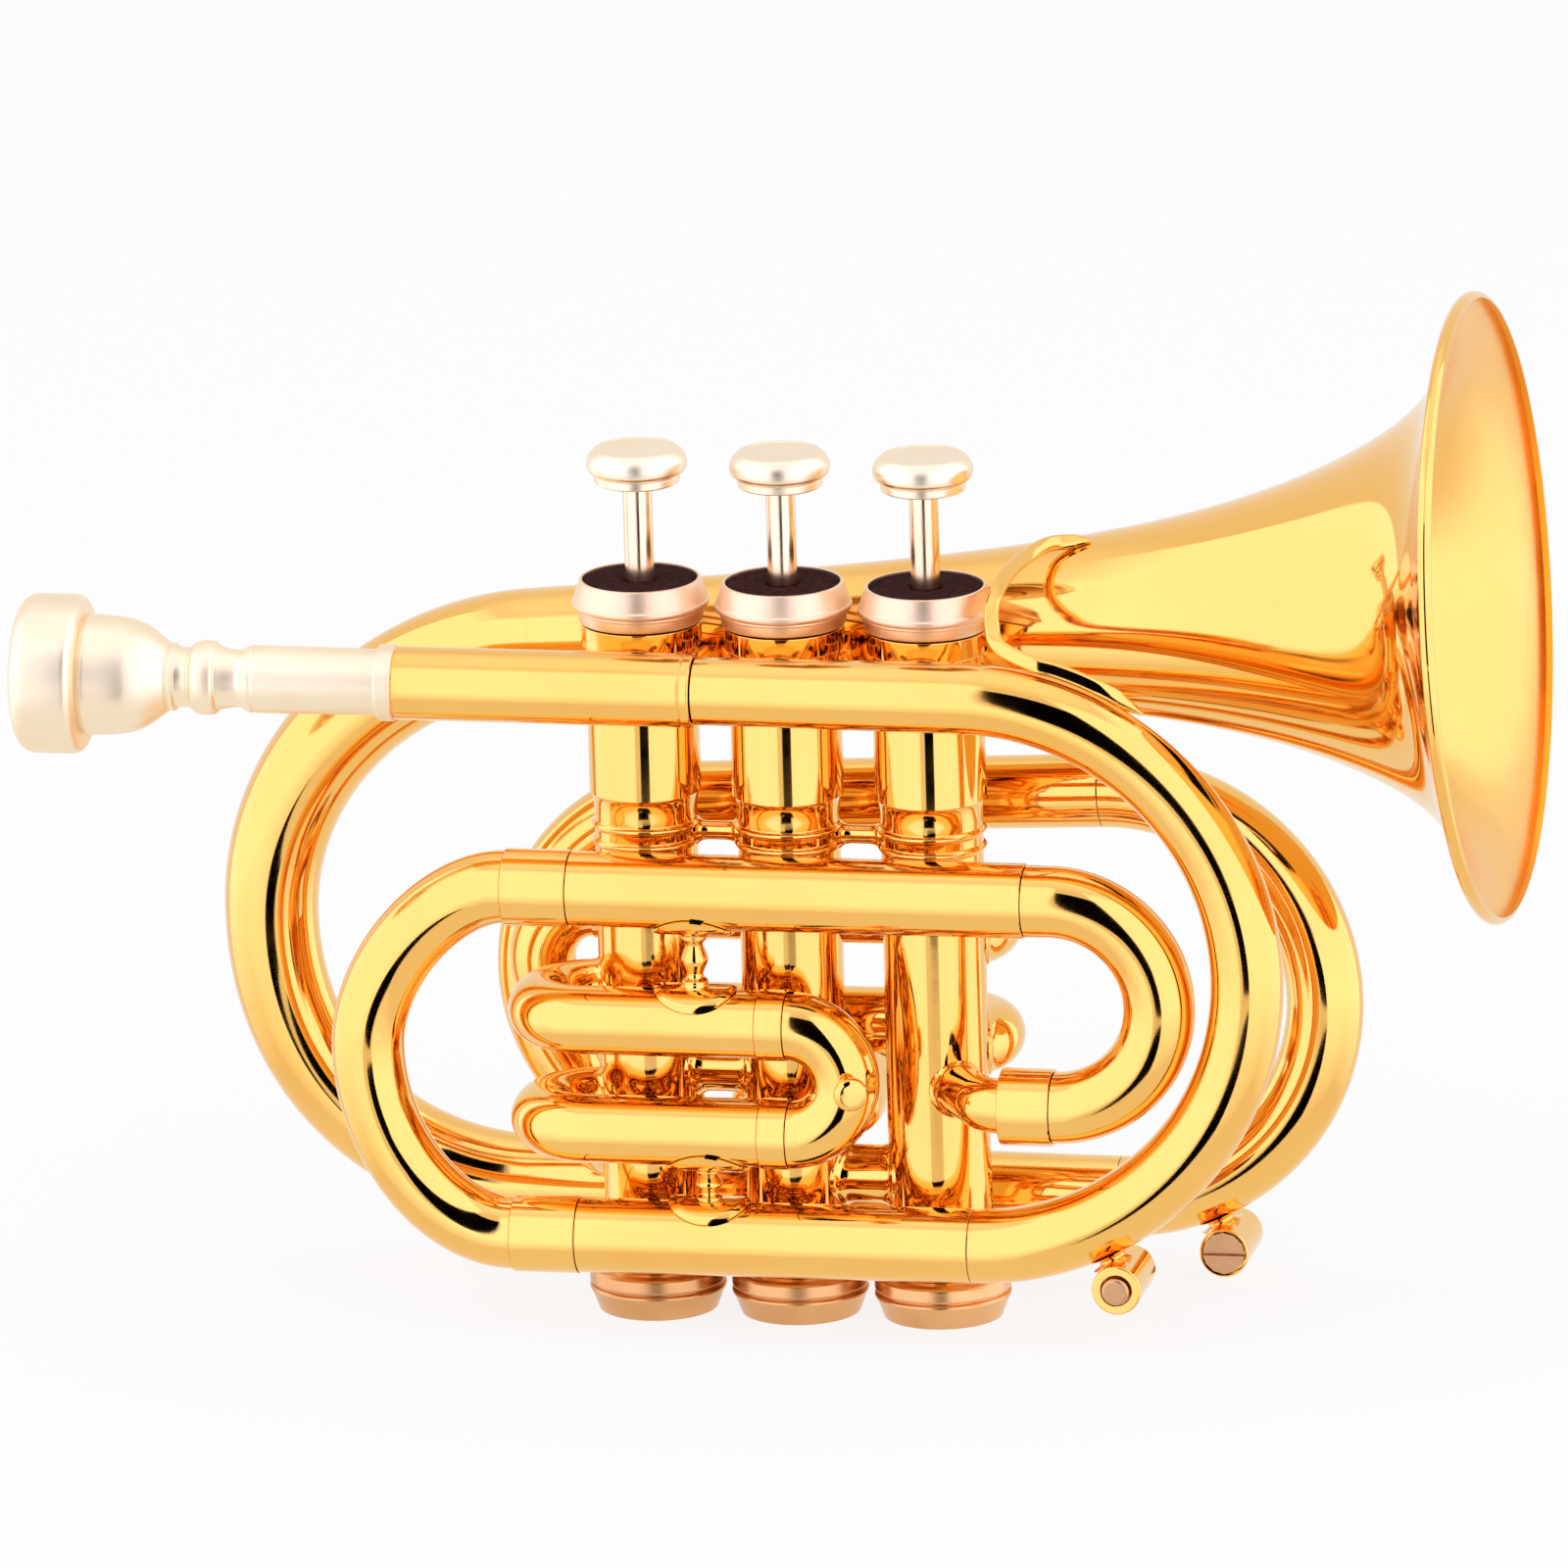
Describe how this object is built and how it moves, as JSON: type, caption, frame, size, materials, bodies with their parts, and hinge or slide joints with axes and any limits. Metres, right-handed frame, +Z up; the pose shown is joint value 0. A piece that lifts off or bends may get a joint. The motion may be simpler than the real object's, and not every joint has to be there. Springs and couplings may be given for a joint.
{
  "type": "pocket trumpet",
  "caption": "Compact wound brass trumpet with piston valves, draw slides, water keys, a flared bell and a loose mouthpiece.",
  "frame": {"origin": "on the ground, at the middle of the part's footprint", "axes": "+X towards the bell's mouth, +Y from the player's right-hand side of the valves to the bell's side, +Z up along the valves"},
  "size_m": [0.2656, 0.1142, 0.1851],
  "materials": {
    "gold_lacquer": "polished, clear gold lacquer",
    "silver_plate": "polished plate with a warm tone",
    "copper_brown": "satin, reddish",
    "nickel": "lapped, bright",
    "spring_steel": "drawn wire",
    "felt": "pressed felt"
  },
  "bodies": {
    "root": {"valve_1_casing": "gold_lacquer", "valve_1_bottom_cap": "copper_brown", "valve_1_top_cap": "silver_plate", "valve_1_top_felt": "felt", "valve_1_guide": "nickel", "valve_1_spring": "spring_steel", "valve_2_casing": "gold_lacquer", "valve_2_bottom_cap": "copper_brown", "valve_2_top_cap": "silver_plate", "valve_2_top_felt": "felt", "valve_2_guide": "nickel", "valve_2_spring": "spring_steel", "valve_3_casing": "gold_lacquer", "valve_3_bottom_cap": "copper_brown", "valve_3_top_cap": "silver_plate", "valve_3_top_felt": "felt", "valve_3_guide": "nickel", "valve_3_spring": "spring_steel", "leadpipe_receiver": "gold_lacquer", "leadpipe": "gold_lacquer", "lower_slide_tube": "gold_lacquer", "upper_slide_tube": "gold_lacquer", "inlet_bow": "gold_lacquer", "inlet_ferrule": "gold_lacquer", "inlet_elbow": "gold_lacquer", "first_slide_tube_upper": "gold_lacquer", "first_slide_tube_lower": "gold_lacquer", "second_slide_tube_left": "gold_lacquer", "second_slide_tube_right": "gold_lacquer", "third_slide_tube_upper": "gold_lacquer", "third_slide_tube_lower": "gold_lacquer", "tail_loop": "gold_lacquer", "tail_bow": "gold_lacquer", "bell_stem": "gold_lacquer", "bell": "gold_lacquer", "bell_brace": "gold_lacquer", "brace_post_upper": "gold_lacquer", "brace_post_lower": "gold_lacquer", "near_water_key_body": "gold_lacquer", "near_water_key_plug": "copper_brown", "far_water_key_body": "gold_lacquer", "far_water_key_plug": "copper_brown"},
    "valve_1": {"valve_1_piston": "nickel", "valve_1_button": "silver_plate"},
    "valve_2": {"valve_2_piston": "nickel", "valve_2_button": "silver_plate"},
    "valve_3": {"valve_3_piston": "nickel", "valve_3_button": "silver_plate"},
    "mouthpiece": {"mouthpiece": "silver_plate"},
    "tuning_slide": {"tuning_slide_leg_upper": "gold_lacquer", "tuning_slide_leg_lower": "gold_lacquer", "tuning_slide_crook": "gold_lacquer"},
    "first_slide": {"first_slide_leg_upper": "gold_lacquer", "first_slide_leg_lower": "gold_lacquer", "first_slide_crook": "gold_lacquer", "first_slide_knob": "gold_lacquer"},
    "second_slide": {"second_slide_crook": "gold_lacquer"},
    "third_slide": {"third_slide_crook": "gold_lacquer"},
    "near_water_key": {"near_water_key_plunger": "copper_brown"},
    "far_water_key": {"far_water_key_plunger": "copper_brown"}
  },
  "joints": [
    {"name": "valve_1_press", "type": "slide", "parent": "root", "child": "valve_1", "axis": [0, 0, -1], "range_m": [0, 0.0165], "stiffness_N_per_m": 120, "springref_m": -0.02, "deforming": ["valve_1_spring"]},
    {"name": "valve_2_press", "type": "slide", "parent": "root", "child": "valve_2", "axis": [0, 0, -1], "range_m": [0, 0.0165], "stiffness_N_per_m": 120, "springref_m": -0.02, "deforming": ["valve_2_spring"]},
    {"name": "valve_3_press", "type": "slide", "parent": "root", "child": "valve_3", "axis": [0, 0, -1], "range_m": [0, 0.0165], "stiffness_N_per_m": 120, "springref_m": -0.02, "deforming": ["valve_3_spring"]},
    {"name": "mouthpiece_pull", "type": "slide", "parent": "root", "child": "mouthpiece", "axis": [-1, 0, 0], "range_m": [0, 0.018]},
    {"name": "tuning_slide_pull", "type": "slide", "parent": "root", "child": "tuning_slide", "axis": [-1, 0, 0], "range_m": [0, 0.025]},
    {"name": "first_slide_pull", "type": "slide", "parent": "root", "child": "first_slide", "axis": [1, 0, 0], "range_m": [0, 0.006]},
    {"name": "second_slide_pull", "type": "slide", "parent": "root", "child": "second_slide", "axis": [0, 1, 0], "range_m": [0, 0.008]},
    {"name": "third_slide_pull", "type": "slide", "parent": "root", "child": "third_slide", "axis": [-1, 0, 0], "range_m": [0, 0.015]},
    {"name": "near_water_key_press", "type": "slide", "parent": "root", "child": "near_water_key", "axis": [0, 1, 0], "range_m": [0, 0.0022], "stiffness_N_per_m": 400, "springref_m": -0.003},
    {"name": "far_water_key_press", "type": "slide", "parent": "root", "child": "far_water_key", "axis": [0, -1, 0], "range_m": [0, 0.0022], "stiffness_N_per_m": 400, "springref_m": -0.003}
  ]
}
